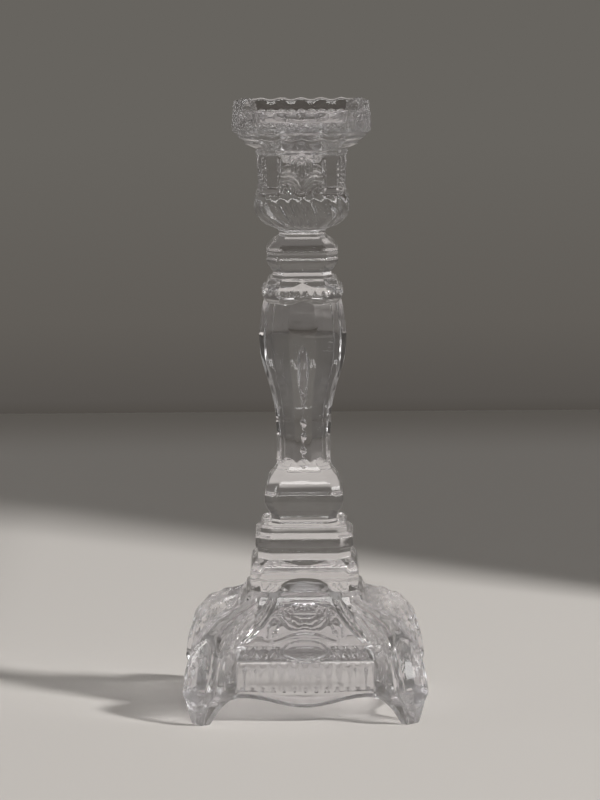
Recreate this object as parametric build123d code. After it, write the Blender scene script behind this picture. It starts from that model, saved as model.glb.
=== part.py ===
"""Pressed glass candlestick, built from seven glass pieces that are joined hot, one on top of the other.

Millimetres, +Z up. The origin is on the resting plane, under the centre line.
Every piece but the foot has an octagonal section: a square with its four corners cut off.
"""
import os
from math import cos, radians, sqrt

from build123d import *

# ---- driving dimensions ------------------------------------------------------------------------
TOTAL_HEIGHT = 250.0
CANDLE_DIAMETER = 22.0            # a standard household taper candle
SOCKET_CLEARANCE = 0.25           # per side, round the candle
SOCKET_LENGTH = 11.0              # straight part of the candle socket
SOCKET_TAPER_LENGTH = 5.6         # cone below it, which centres a candle's trimmed end
SOCKET_END_RADIUS = 7.8
PAN_DEPTH = 7.0                   # drip pan, from the rim to its floor
PAN_HALF = 28.4
PAN_CHAMFER = 7.7
PAN_WALL = 3.4

# heights of the joints between the pieces, from the resting plane
FOOT_TOP = 77.6
FOOT_WAFER_TOP = 79.4
STEM_TOP = 179.0
STEM_WAFER_TOP = 181.6
KNOP_TOP = 196.2
CUP_WAFER_TOP = 197.8

# half widths and cut corners at those joints
CUP_WAFER_HALF = 9.4
CUP_WAFER_CHAMFER = 2.4
STEM_WAFER_HALF = 12.0
STEM_WAFER_CHAMFER = 4.3
FOOT_WAFER_HALF = 13.4
FOOT_WAFER_CHAMFER = 3.6

# the foot
APRON_HALF = 40.8                 # flat sides of the apron, from the centre line
APRON_FLOOR = 10.2                # lower edge of the apron beside the feet
APRON_DROP = 4.1                  # how much lower the edge hangs in the middle of a side
APRON_DROP_HALF = 26.0
APRON_WALL = 7.5
CAVITY_TOP = 53.0
LEG_THICKNESS = 17.0
LEG_NECK_WIDTH = 7.0              # width of a leg where it leaves the plinth's corner
LEG_NECK_END = 28.0               # from the centre line; the leg widens from here ...
LEG_FULL_START = 48.0             # ... to here
LEG_ROOT = 12.0                   # the legs start this far from the centre line, inside the body
LEG_TIP_WIDTH = 6.6
LEG_TIP_RISE = 13.0               # height over which a foot narrows down to its tip

OVERCUT = 1.0                     # how far a cutter runs past the face that it opens
REACH = 90.0                      # half length of a profile block, longer than any width
ROOT_TWO = sqrt(2.0)
FACET_ANGLE = 45.0                # one of the eight facets round the stem


# ---- octagonal bodies --------------------------------------------------------------------------
def outline_edges(stations):
    """Edges from station to station, top down. A station is (half width, height, bow)."""
    edges = Curve()
    for upper, lower in zip(stations, stations[1:]):
        start = (upper[0], upper[1])
        end = (lower[0], lower[1])
        bow = lower[2]
        if bow:
            edges += SagittaArc(start, end, bow)
        else:
            edges += Line(start, end)
    return edges


def profile_block(stations, turn):
    """A symmetric outline made into a long block, turned about the centre line."""
    right = outline_edges(stations)
    left = mirror(right, about=Plane.YZ)
    top_half, top_height, _ = stations[0]
    low_half, low_height, _ = stations[-1]
    top = Line((-top_half, top_height), (top_half, top_height))
    bottom = Line((-low_half, low_height), (low_half, low_height))
    face = make_face(right + bottom + left + top)
    block = extrude(Plane.XZ * face, amount=REACH, both=True)
    return Rot(0, 0, turn) * block


def octagonal(stations):
    """A body of octagonal section. A station is (half width, height, cut corner, bow).

    The corners are cut by two more blocks, at 45 degrees, whose outline follows the same stations.
    The bow is how far the stretch from the station above bulges out (positive) or in (negative).
    """
    flats = [(half, height, bow) for half, height, _, bow in stations]
    corners = [
        (ROOT_TWO * half - cut / ROOT_TWO, height, ROOT_TWO * bow)
        for half, height, cut, bow in stations
    ]
    body = profile_block(flats, 0) & profile_block(flats, 90)
    body = body & profile_block(corners, 45)
    body = body & profile_block(corners, 135)
    return body.solid()


# ---- candle cup: drip pan, socket and gadrooned bowl, one pressing --------------------------------
def candle_cup():
    outside = octagonal([
        (PAN_HALF - 0.9, TOTAL_HEIGHT, PAN_CHAMFER, 0),
        (PAN_HALF, TOTAL_HEIGHT - 1.0, PAN_CHAMFER, 0.2),
        (PAN_HALF, 241.6, PAN_CHAMFER, 0),
        (27.9, 240.3, PAN_CHAMFER, 0.2),
        (26.2, 239.4, 7.3, 0),
        (25.4, 237.6, 6.8, 0),
        (23.0, 235.5, 5.8, -0.4),
        (19.4, 233.4, 4.2, 0),
        (18.6, 232.9, 4.0, 0),
        (18.6, 231.4, 4.0, 0),
        (17.6, 230.6, 3.5, 0),
        (17.6, 214.6, 3.5, 0),
        (19.3, 209.4, 4.0, 0.5),
        (17.3, 204.1, 4.4, 0.6),
        (10.4, 199.3, 3.4, 0.6),
        (CUP_WAFER_HALF, CUP_WAFER_TOP, CUP_WAFER_CHAMFER, -0.2),
    ])
    pan_floor = TOTAL_HEIGHT - PAN_DEPTH
    inner = PAN_HALF - PAN_WALL
    recess = octagonal([
        (inner, TOTAL_HEIGHT + OVERCUT, PAN_CHAMFER - 1.2, 0),
        (inner, TOTAL_HEIGHT - 1.0, PAN_CHAMFER - 1.2, 0),
        (inner - 1.0, pan_floor + 1.5, PAN_CHAMFER - 1.6, 0),
        (inner - 2.6, pan_floor, PAN_CHAMFER - 2.2, 0),
    ])
    socket_radius = CANDLE_DIAMETER / 2 + SOCKET_CLEARANCE
    socket_end = pan_floor - SOCKET_LENGTH
    straight = Pos(0, 0, socket_end) * Cylinder(
        socket_radius, SOCKET_LENGTH + OVERCUT, align=(Align.CENTER, Align.CENTER, Align.MIN)
    )
    taper = Pos(0, 0, socket_end - SOCKET_TAPER_LENGTH) * Cone(
        SOCKET_END_RADIUS, socket_radius, SOCKET_TAPER_LENGTH,
        align=(Align.CENTER, Align.CENTER, Align.MIN)
    )
    return outside - recess - straight - taper


# ---- wafers: thin gathers of hot glass that weld one pressing to the next --------------------------
def wafer(half, chamfer, low, high):
    middle = (low + high) / 2
    return octagonal([
        (half, high, chamfer, 0),
        (half + 0.3, middle, chamfer, 0),
        (half, low, chamfer, 0),
    ])


# ---- upper knop -----------------------------------------------------------------------------------
def upper_knop():
    return octagonal([
        (CUP_WAFER_HALF, KNOP_TOP, CUP_WAFER_CHAMFER, 0),
        (10.4, 194.9, 2.6, 0),
        (14.7, 190.4, 4.6, 0.3),
        (14.7, 186.9, 4.6, 0),
        (STEM_WAFER_HALF, STEM_WAFER_TOP, STEM_WAFER_CHAMFER, 0),
    ])


# ---- stem: collar, baluster and lower knop, one pressing --------------------------------------------
def baluster():
    """Eight equal facets with an edge to the front: turned half a facet from the collar and knop."""
    radii = [
        (15.4, 171.0, 0),
        (16.2, 168.6, 0),
        (17.4, 161.4, 0.15),
        (18.1, 154.0, 0.1),
        (17.8, 149.4, 0),
        (17.2, 145.2, 0.1),
        (15.0, 137.0, 0.1),
        (12.9, 129.4, -0.1),
        (11.4, 117.4, -0.35),
        (11.0, 107.0, -0.1),
        (11.2, 100.4, 0),
        (11.2, 90.0, 0),
    ]
    flat_share = cos(radians(FACET_ANGLE / 2))
    cut_share = flat_share * (2 - ROOT_TWO)
    stations = [
        (radius * flat_share, height, radius * cut_share, bow) for radius, height, bow in radii
    ]
    return Rot(0, 0, FACET_ANGLE / 2) * octagonal(stations)


def stem():
    collar = octagonal([
        (STEM_WAFER_HALF, STEM_TOP, STEM_WAFER_CHAMFER, 0),
        (13.3, 178.7, 4.8, 0),
        (14.0, 178.0, 5.2, 0.1),
        (15.6, 174.6, 5.8, 0),
        (16.2, 172.6, 6.0, 0.1),
        (16.2, 170.8, 6.2, 0),
        (14.6, 168.9, 6.0, 0),
    ])
    lower_knop = octagonal([
        (10.9, 101.0, 4.6, 0),
        (13.3, 97.2, 4.5, -0.4),
        (15.6, 91.6, 4.1, 0.2),
        (16.2, 90.2, 3.7, 0.1),
        (16.2, 87.6, 3.6, 0),
        (15.9, 85.8, 3.6, 0.1),
        (13.9, 81.6, 3.6, 0.2),
        (FOOT_WAFER_HALF, FOOT_WAFER_TOP, FOOT_WAFER_CHAMFER, 0),
    ])
    return collar + baluster() + lower_knop


# ---- foot: two steps, plinth, flared body with an apron, and four scroll legs -----------------------
def foot_body():
    return octagonal([
        (16.6, FOOT_TOP, 3.8, 0),
        (17.9, 76.2, 4.0, 0.2),
        (17.9, 74.4, 4.0, 0),
        (19.0, 73.6, 5.4, 0),
        (20.2, 72.8, 5.6, 0),
        (20.2, 68.6, 5.6, 0),
        (19.0, 66.4, 5.2, 0),
        (19.2, 63.6, 4.8, 0),
        (21.6, 61.2, 4.6, 0.3),
        (22.4, 58.0, 4.5, 0.1),
        (22.4, 50.6, 4.5, 0),
        (24.0, 49.4, 5.0, 0),
        (37.6, 33.0, 9.0, -2.0),
        (APRON_HALF - 0.4, 26.4, 10.0, 0.5),
        (APRON_HALF, 24.8, 10.0, 0),
        (APRON_HALF, APRON_FLOOR, 10.0, 0),
    ])


def foot_cavity():
    """The hollow that the plunger leaves under the foot."""
    opening = APRON_HALF - APRON_WALL
    return octagonal([
        (6.0, CAVITY_TOP, 3.5, 0),
        (8.6, 51.4, 4.0, 0),
        (12.5, 48.0, 4.6, 0),
        (20.0, 38.0, 4.8, 0),
        (30.6, 27.0, 5.0, 0),
        (opening - 1.1, 24.4, 5.0, 0.3),
        (opening, -OVERCUT, 5.0, 0),
    ])


def apron_drop(turn):
    """The part of one apron side that hangs below the rest, with a curved lower edge."""
    left = (-APRON_DROP_HALF, APRON_FLOOR)
    right = (APRON_DROP_HALF, APRON_FLOOR)
    lowest = (0, APRON_FLOOR - APRON_DROP)
    lower_edge = Spline(left, lowest, right, tangents=[(1, 0), (1, 0)])
    face = make_face(lower_edge + Line(left, right))
    plate = extrude(Plane.XZ * face, amount=APRON_WALL)
    outer_face = Pos(0, -APRON_HALF + APRON_WALL, 0) * plate
    return Rot(0, 0, turn) * outer_face


def leg(turn):
    """A scroll leg on a diagonal: its side outline, made as thick as the leg, narrowed to its tip and neck."""
    ridge = Spline(
        (33.0, 46.0), (41.0, 43.2), (48.5, 40.2), (54.0, 35.6), (58.4, 28.6), (61.8, 19.6), (63.3, 12.6)
    )
    side = Line((LEG_ROOT, 49.6), (27.0, 49.6)) + Line((27.0, 49.6), (33.0, 46.0)) + ridge
    side += Line((63.3, 12.6), (63.3, 9.4)) + Line((63.3, 9.4), (62.4, 0))
    side += Line((62.4, 0), (58.6, 0)) + Line((58.6, 0), (50.0, 8.6))
    side += Line((50.0, 8.6), (44.0, 10.4)) + Line((44.0, 10.4), (38.0, 26.0))
    side += Line((38.0, 26.0), (LEG_ROOT, 45.0)) + Line((LEG_ROOT, 45.0), (LEG_ROOT, 49.6))
    plate = extrude(Plane.XZ * make_face(side), amount=LEG_THICKNESS / 2, both=True)
    front = Polyline(
        (-LEG_TIP_WIDTH / 2, 0), (LEG_TIP_WIDTH / 2, 0), (LEG_THICKNESS / 2, LEG_TIP_RISE),
        (LEG_THICKNESS / 2, 60.0), (-LEG_THICKNESS / 2, 60.0), (-LEG_THICKNESS / 2, LEG_TIP_RISE),
        (-LEG_TIP_WIDTH / 2, 0)
    )
    narrowing = extrude(Plane.YZ * make_face(front), amount=REACH)
    plan = Polyline(
        (LEG_ROOT, -LEG_NECK_WIDTH / 2), (LEG_NECK_END, -LEG_NECK_WIDTH / 2),
        (LEG_FULL_START, -LEG_THICKNESS / 2), (REACH, -LEG_THICKNESS / 2),
        (REACH, LEG_THICKNESS / 2), (LEG_FULL_START, LEG_THICKNESS / 2),
        (LEG_NECK_END, LEG_NECK_WIDTH / 2), (LEG_ROOT, LEG_NECK_WIDTH / 2),
        (LEG_ROOT, -LEG_NECK_WIDTH / 2)
    )
    widening = extrude(make_face(plan), amount=REACH)
    return Rot(0, 0, turn) * (plate & narrowing & widening)


def foot():
    body = foot_body()
    for quarter in range(4):
        body += apron_drop(90 * quarter)
        body += leg(45 + 90 * quarter)
    return body - foot_cavity()


# ---- all pieces -------------------------------------------------------------------------------------
pieces = {
    "candle_cup": candle_cup(),
    "cup_wafer": wafer(CUP_WAFER_HALF, CUP_WAFER_CHAMFER, KNOP_TOP, CUP_WAFER_TOP),
    "upper_knop": upper_knop(),
    "stem_wafer": wafer(STEM_WAFER_HALF, STEM_WAFER_CHAMFER, STEM_TOP, STEM_WAFER_TOP),
    "stem": stem(),
    "foot_wafer": wafer(FOOT_WAFER_HALF, FOOT_WAFER_CHAMFER, FOOT_TOP, FOOT_WAFER_TOP),
    "foot": foot(),
}

os.makedirs("parts", exist_ok=True)
for name, shape in pieces.items():
    export_step(shape, f"parts/{name}.step")
    print(name, "solids", len(shape.solids()), "volume", round(shape.volume, 1))
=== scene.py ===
"""Looks of the pressed glass candlestick: seven glass pieces, a pale floor, a key light and a camera.

Shapes are worked out in millimetres and turned into metres when a mesh is made.
Every piece is a skin of rings, stacked along an outline, with its pressed ornament moved out or in
along the surface normal. Across a flat side the ornament is placed by u, across a cut corner by w,
and up the piece by z.
"""
import math

import bpy
import numpy as np
from mathutils import Matrix, Vector


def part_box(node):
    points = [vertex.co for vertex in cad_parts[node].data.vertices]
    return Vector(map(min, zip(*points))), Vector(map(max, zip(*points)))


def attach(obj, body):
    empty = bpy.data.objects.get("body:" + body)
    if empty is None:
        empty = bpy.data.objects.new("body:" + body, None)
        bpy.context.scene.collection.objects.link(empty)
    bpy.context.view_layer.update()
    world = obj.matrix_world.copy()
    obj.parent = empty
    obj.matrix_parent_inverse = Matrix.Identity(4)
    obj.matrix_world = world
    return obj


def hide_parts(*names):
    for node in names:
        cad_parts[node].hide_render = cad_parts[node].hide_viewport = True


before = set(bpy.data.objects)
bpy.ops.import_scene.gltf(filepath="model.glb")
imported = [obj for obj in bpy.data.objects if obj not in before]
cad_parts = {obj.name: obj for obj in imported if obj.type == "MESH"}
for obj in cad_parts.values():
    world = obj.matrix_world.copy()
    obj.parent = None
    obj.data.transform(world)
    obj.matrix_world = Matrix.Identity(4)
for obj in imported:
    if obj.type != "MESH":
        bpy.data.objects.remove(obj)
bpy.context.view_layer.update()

MM = 0.001
ROOT_TWO = math.sqrt(2.0)
COLUMNS = 480                     # vertices round a ring; a multiple of 8, so every facet gets the same
GRAIN = 0.08                      # mm between the points of a dense outline
GLASS, JOINT, CORD = 0, 1, 2      # material slots of the pieces
scene = bpy.context.scene


# ---- small helpers --------------------------------------------------------------------------------
def smooth_step(value, low, high):
    t = np.clip((value - low) / (high - low), 0.0, 1.0)
    return t * t * (3.0 - 2.0 * t)


def window(value, low, high, fade):
    """1 between low and high, falling to 0 over the fade outside them."""
    return smooth_step(value, low - fade, low) * (1.0 - smooth_step(value, high, high + fade))


def ridge_at(distance, width):
    """1 where the distance is 0, falling off as a bell of that width."""
    return np.exp(-(distance / width) ** 2)


def dome(distance):
    """A round dome, 1 high in the middle and 0 where the distance is 1 or more."""
    return np.sqrt(np.clip(1 - distance ** 2, 0, 1))


def lobes(phase):
    """Side by side convex lobes with sharp valleys, one for each whole number of phase."""
    return np.abs(np.cos(np.pi * phase))


def through(points, count=14):
    """A smooth curve through a few given points, as a dense polyline."""
    p = np.array(points, float)
    p = np.vstack([2 * p[0] - p[1], p, 2 * p[-1] - p[-2]])
    t = np.linspace(0, 1, count, endpoint=False)[:, None]
    runs = []
    for a, b, c, d in zip(p, p[1:], p[2:], p[3:]):
        runs.append(0.5 * (2 * b + (c - a) * t + (2 * a - 5 * b + 4 * c - d) * t ** 2
                           + (3 * b - a - 3 * c + d) * t ** 3))
    return np.vstack(runs + [p[-2][None, :]])


def distance_to(u, v, line):
    """Distance of each point (u, v) from a polyline."""
    best = np.full(u.shape, 1e9)
    for (x0, y0), (x1, y1) in zip(line, line[1:]):
        dx, dy = x1 - x0, y1 - y0
        t = np.clip(((u - x0) * dx + (v - y0) * dy) / (dx * dx + dy * dy + 1e-12), 0, 1)
        best = np.minimum(best, np.hypot(u - x0 - t * dx, v - y0 - t * dy))
    return best


def strokes(u, v, lines, width):
    """Rounded ridges along curves: 1 on a curve, 0 at the width from it."""
    height = np.zeros(u.shape)
    for points in lines:
        line = through(points)
        near = ((u > line[:, 0].min() - width) & (u < line[:, 0].max() + width)
                & (v > line[:, 1].min() - width) & (v < line[:, 1].max() + width))
        if near.any():
            far = np.clip(distance_to(u[near], v[near], line) / width, 0, 1)
            height[near] = np.maximum(height[near], 0.5 + 0.5 * np.cos(np.pi * far))
    return height


def run_along(line):
    """Distance from the start of a polyline to each of its points."""
    return np.concatenate([[0], np.cumsum(np.hypot(np.diff(line[:, 0]), np.diff(line[:, 1])))])


def at_distances(line, where):
    """The polyline's values at given distances from its start."""
    along = run_along(line)
    return np.stack([np.interp(where, along, column) for column in line.T], 1)


def across_side_and_corner(co):
    """u across the nearest flat side and w across the nearest cut corner."""
    x, y = co[..., 0], co[..., 1]
    angle = np.arctan2(y, x)
    flat = np.round(angle / (np.pi / 2)) * np.pi / 2
    corner = (np.floor(angle / (np.pi / 2)) + 0.5) * np.pi / 2
    u = y * np.cos(flat) - x * np.sin(flat)
    w = y * np.cos(corner) - x * np.sin(corner)
    return u, w


# ---- outlines ---------------------------------------------------------------------------------------
def station(half, height, cut, bow=0.0, roundness=0.0):
    """A corner of an outline, at half the width over the flats, with the width lost at a cut corner.

    The stretch that ends here bulges by bow mm. A roundness of 1 makes the section a circle.
    """
    return (half, height, cut, bow, roundness)


def outline(stations, soft):
    """Dense (half, height, cut, roundness) along the stations, with corners softened over soft mm."""
    corners = [np.array(s[:3] + s[4:]) for s in stations]
    bows = [s[3] for s in stations]
    dense = []
    for start, end, bow in zip(corners, corners[1:], bows[1:]):
        run = math.hypot(end[0] - start[0], end[1] - start[1])
        count = max(2, int(run / GRAIN))
        t = np.arange(count)[:, None] / count
        piece = start + (end - start) * t
        if bow and run:
            side = 4 * t[:, 0] * (1 - t[:, 0]) * bow / run
            piece[:, 0] -= (end[1] - start[1]) * side
            piece[:, 1] += (end[0] - start[0]) * side
        dense.append(piece)
    dense = np.vstack(dense + [corners[-1]])
    dense = at_distances(dense, np.arange(0, run_along(dense)[-1], GRAIN))
    reach = max(1, int(3 * soft / GRAIN))
    kernel = np.exp(-0.5 * (np.arange(-reach, reach + 1) * GRAIN / soft) ** 2)
    kernel /= kernel.sum()
    before = 2 * dense[0] - dense[reach:0:-1]
    after = 2 * dense[-1] - dense[-2:-reach - 2:-1]
    padded = np.vstack([before, dense, after])
    soft_line = np.stack([np.convolve(column, kernel, "valid") for column in padded.T], 1)
    soft_line[0], soft_line[-1] = corners[0], corners[-1]
    return soft_line


def pick_rows(line, step, turn=0.16, fine=()):
    """Rings along the outline: step mm apart, closer where it turns and in the fine stretches.

    A fine stretch is (lowest z, highest z, least half width, spacing).
    """
    run = np.hypot(np.diff(line[:, 0]), np.diff(line[:, 1]))
    heading = np.unwrap(np.arctan2(np.diff(line[:, 1]), np.diff(line[:, 0])))
    bend = np.abs(np.gradient(heading)) / np.maximum(run, 1e-6)
    middle = 0.5 * (line[1:] + line[:-1])
    density = 1.0 / step + np.convolve(bend, np.ones(5) / 5, "same") / turn
    for low, high, least_half, spacing in fine:
        inside = (middle[:, 1] > low) & (middle[:, 1] < high) & (middle[:, 0] > least_half)
        density[inside] = np.maximum(density[inside], 1.0 / spacing)
    total = np.concatenate([[0], np.cumsum(density * run)])
    count = max(4, int(round(total[-1])))
    where = np.interp(np.linspace(0, total[-1], count + 1), total, run_along(line))
    return at_distances(line, where)


# ---- skins ------------------------------------------------------------------------------------------
class Skin:
    """A closed surface: rings of points, in order, with a cap on the first and the last ring."""

    def __init__(self, co):
        self.co = co

    def normals(self):
        round_the_ring = np.roll(self.co, -1, 1) - np.roll(self.co, 1, 1)
        to_next_ring = np.gradient(self.co, axis=0)
        n = np.cross(to_next_ring, round_the_ring)
        return n / np.maximum(np.linalg.norm(n, axis=2, keepdims=True), 1e-9)

    def press(self, height):
        """Moves the skin out by height mm, along its normals."""
        self.co = self.co + self.normals() * height[..., None]

    def faces(self, first=0):
        """Faces for points(), where the first point has the number first."""
        rows, columns = self.co.shape[:2]
        i = np.arange(rows - 1)[:, None] * columns
        j = np.arange(columns)[None, :]
        k = (j + 1) % columns
        quads = np.stack([i + j, i + columns + j, i + columns + k, i + k], 2).reshape(-1, 4) + first
        start, end = first, first + (rows - 1) * columns
        j, k = j[0], k[0]
        top, bottom = first + rows * columns, first + rows * columns + 1
        caps = [np.stack([start + j, start + k, np.full(columns, top)], 1),
                np.stack([end + k, end + j, np.full(columns, bottom)], 1)]
        return quads.tolist() + np.vstack(caps).tolist()

    def points(self):
        """All vertices, with the middle points of the two end caps last."""
        return np.vstack([self.co.reshape(-1, 3), self.co[0].mean(0), self.co[-1].mean(0)])


class OutlineSkin(Skin):
    """Rings along an outline: an octagon with cut corners, or a circle where the roundness is 1."""

    def __init__(self, rows, crisp=110, turn=0.0):
        half, height, cut, roundness = (rows[:, k][:, None] for k in range(4))
        angle = (np.arange(COLUMNS) * 2 * np.pi / COLUMNS)[None, :]
        corner = ROOT_TWO * half - cut / ROOT_TWO
        total = 0
        for k, reach in enumerate((half, corner, half, corner)):
            total = total + np.abs(np.cos(angle - k * np.pi / 4) / reach) ** crisp
        radius = total ** (-1.0 / crisp) * (1 - roundness) + half * roundness
        angle = angle + turn
        x, y = radius * np.cos(angle), radius * np.sin(angle)
        super().__init__(np.stack([x, y, height + 0 * angle], 2))
        self.half, self.cut = half + 0 * angle, cut + 0 * angle
        self.u, self.w = across_side_and_corner(self.co)
        self.z = self.co[..., 2]

    def on_rows(self, chosen):
        """True for every vertex of the chosen rings."""
        return np.broadcast_to(chosen[:, None], self.z.shape)


def make_object(name, points, faces):
    mesh = bpy.data.meshes.new(name)
    mesh.from_pydata((np.asarray(points) * MM).tolist(), [], faces)
    mesh.update()
    ob = bpy.data.objects.new(name, mesh)
    scene.collection.objects.link(ob)
    return ob


def skin_object(name, skin):
    return make_object(name, skin.points(), skin.faces())


def fuse(name, objects):
    """One closed mesh from several overlapping ones."""
    base = objects[0]
    for other in objects[1:]:
        join = base.modifiers.new("join", "BOOLEAN")
        join.operation, join.solver, join.object = "UNION", "MANIFOLD", other
    graph = bpy.context.evaluated_depsgraph_get()
    mesh = bpy.data.meshes.new_from_object(base.evaluated_get(graph))
    for ob in objects:
        bpy.data.objects.remove(ob)
    mesh.name = name
    ob = bpy.data.objects.new(name, mesh)
    scene.collection.objects.link(ob)
    return ob


def vertex_array(mesh):
    """The mesh's vertices, in millimetres."""
    co = np.zeros(len(mesh.vertices) * 3)
    mesh.vertices.foreach_get("co", co)
    return co.reshape(-1, 3) / MM


# ---- glass ------------------------------------------------------------------------------------------
GLASS_TINT = (0.935, 0.926, 0.945, 1)
GLASS_IOR = 1.51
STIPPLE_ROUGHNESS = 0.20          # where the stipple is full
SHADOW_TINTS = (0.40, 0.40, 0.40, 1), (0.06, 0.06, 0.06, 1)     # seen flat on, and at a grazing angle


def add(tree, kind, at, inputs=None, **settings):
    """A new node of a kind, with its settings and the values of its inputs."""
    node = tree.nodes.new(kind)
    node.location = at
    for key, value in settings.items():
        setattr(node, key, value)
    for socket, value in (inputs or {}).items():
        node.inputs[socket].default_value = value
    return node


def empty_material(name):
    mat = bpy.data.materials.new(name)
    mat.use_nodes = True
    mat.node_tree.nodes.clear()
    return mat


def glass_relief(tree, mask):
    """Bumps too small to model: the polished surface's slow waves, and grains where it is stippled."""
    link = tree.links.new
    place = add(tree, "ShaderNodeTexCoord", (-900, 0))
    wave = add(tree, "ShaderNodeTexNoise", (-600, 100), {"Scale": 110.0, "Detail": 1.6})
    grains = add(tree, "ShaderNodeTexVoronoi", (-600, -200), {"Scale": 1250.0})
    dots = add(tree, "ShaderNodeMath", (-350, -250), operation="MULTIPLY")
    soft = add(tree, "ShaderNodeBump", (-100, 100), {"Strength": 0.35, "Distance": 0.00035})
    rough = add(tree, "ShaderNodeBump", (100, -200), {"Strength": 1.0, "Distance": 0.0006})
    link(place.outputs["Object"], wave.inputs["Vector"])
    link(place.outputs["Object"], grains.inputs["Vector"])
    link(grains.outputs["Distance"], dots.inputs[0])
    link(mask.outputs["Fac"], dots.inputs[1])
    link(wave.outputs["Fac"], soft.inputs["Height"])
    link(dots.outputs[0], rough.inputs["Height"])
    link(soft.outputs["Normal"], rough.inputs["Normal"])
    return rough.outputs["Normal"]


def glass_surface(tree):
    """Glass whose roughness comes from the stipple and the haze that the meshes carry."""
    link = tree.links.new
    mask = add(tree, "ShaderNodeAttribute", (-600, -450), attribute_name="stipple")
    haze = add(tree, "ShaderNodeAttribute", (-100, -800), attribute_name="haze")
    polish = add(tree, "ShaderNodeMapRange", (-100, -500), {"To Min": 0.0, "To Max": STIPPLE_ROUGHNESS})
    both = add(tree, "ShaderNodeMath", (100, -600), operation="ADD")
    shader = add(tree, "ShaderNodeBsdfPrincipled", (300, 0), {
        "Base Color": GLASS_TINT, "Transmission Weight": 1.0, "IOR": GLASS_IOR})
    link(mask.outputs["Fac"], polish.inputs["Value"])
    link(polish.outputs["Result"], both.inputs[0])
    link(haze.outputs["Fac"], both.inputs[1])
    link(both.outputs[0], shader.inputs["Roughness"])
    link(glass_relief(tree, mask), shader.inputs["Normal"])
    return shader.outputs[0]


def glass_shadow(tree):
    """What a shadow ray meets: a grey tint, darker where it grazes the glass."""
    facing = add(tree, "ShaderNodeLayerWeight", (0, 400), {"Blend": 0.35})
    shade = add(tree, "ShaderNodeMix", (250, 400), data_type="RGBA")
    clear = add(tree, "ShaderNodeBsdfTransparent", (450, 300))
    shade.inputs["A"].default_value, shade.inputs["B"].default_value = SHADOW_TINTS
    tree.links.new(facing.outputs["Facing"], shade.inputs["Factor"])
    tree.links.new(shade.outputs["Result"], clear.inputs["Color"])
    return clear.outputs[0]


def clear_glass():
    """Pressed soda-lime glass: fire-polished and a little wavy, stippled where the mould was."""
    mat = empty_material("clear_glass")
    tree = mat.node_tree
    link = tree.links.new
    path = add(tree, "ShaderNodeLightPath", (450, 600))
    mix = add(tree, "ShaderNodeMixShader", (700, 100))
    out = add(tree, "ShaderNodeOutputMaterial", (900, 0))
    link(path.outputs["Is Shadow Ray"], mix.inputs[0])
    link(glass_surface(tree), mix.inputs[1])
    link(glass_shadow(tree), mix.inputs[2])
    link(mix.outputs[0], out.inputs["Surface"])
    return mat


def fused_joint():
    """Where two pieces were welded hot there is no surface left: light goes straight on."""
    mat = empty_material("fused_joint")
    tree = mat.node_tree
    out = add(tree, "ShaderNodeOutputMaterial", (200, 0))
    clear = add(tree, "ShaderNodeBsdfTransparent", (0, 0))
    tree.links.new(clear.outputs[0], out.inputs["Surface"])
    return mat


def denser_glass():
    """A streak of slightly denser glass inside the clear glass, which glassmakers call cord."""
    mat = empty_material("cord")
    tree = mat.node_tree
    out = add(tree, "ShaderNodeOutputMaterial", (300, 0))
    shader = add(tree, "ShaderNodeBsdfPrincipled", (0, 0), {
        "Base Color": (0.99, 0.99, 0.99, 1), "Transmission Weight": 1.0, "Roughness": 0.0,
        "IOR": 1.012, "Specular IOR Level": 0.5})
    tree.links.new(shader.outputs[0], out.inputs["Surface"])
    return mat


glass_material, joint_material, cord_material = clear_glass(), fused_joint(), denser_glass()


def finish_piece(ob, node, joints, stipple=None, haze=None, sharp=40, cord=(0, 0)):
    """Materials, normals, stipple and haze, its name and its parent, for one finished piece.

    joints holds the heights of its welded faces. stipple and haze are functions of the vertices.
    Edges stay sharp from sharp degrees up. cord is the range of faces of the streak inside.
    """
    mesh = ob.data
    mesh.materials.clear()
    mesh.materials.append(glass_material)
    mesh.materials.append(joint_material)
    if cord[1]:
        mesh.materials.append(cord_material)
    count = len(mesh.polygons)
    centre, normal = np.zeros(count * 3), np.zeros(count * 3)
    mesh.polygons.foreach_get("center", centre)
    mesh.polygons.foreach_get("normal", normal)
    height = centre.reshape(-1, 3)[:, 2] / MM
    level = np.abs(normal.reshape(-1, 3)[:, 2]) > 0.999
    slot = np.full(count, GLASS, np.int32)
    for joint in joints:
        slot[(np.abs(height - joint) < 0.003) & level] = JOINT
    slot[cord[0]:cord[1]] = CORD
    mesh.polygons.foreach_set("material_index", slot)
    mesh.shade_smooth()
    mesh.set_sharp_from_angle(angle=math.radians(sharp))
    co = vertex_array(mesh)
    for name, amount in (("stipple", stipple), ("haze", haze)):
        values = amount(co) if amount else np.zeros(len(co))
        layer = mesh.attributes.new(name, "FLOAT", "POINT")
        layer.data.foreach_set("value", values.astype(np.float32))
    mesh.update()
    ob.name = node
    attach(ob, "root")
    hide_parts(node)
    return ob


# ---- heights of the joints, and (half width, cut) of the sections there ----------------------------
def top_of(node):
    """Height of a node's top in the CAD, in millimetres."""
    return round(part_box(node)[1][2] / MM, 2)


FOOT_TOP, FOOT_WAFER_TOP = top_of("foot"), top_of("foot_wafer")
STEM_TOP, STEM_WAFER_TOP = top_of("stem"), top_of("stem_wafer")
KNOP_TOP, CUP_WAFER_TOP = top_of("upper_knop"), top_of("cup_wafer")
TOTAL_HEIGHT = top_of("candle_cup")
CUP_JOINT, STEM_JOINT, FOOT_JOINT = (9.4, 2.4), (12.0, 4.3), (13.4, 3.6)


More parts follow.
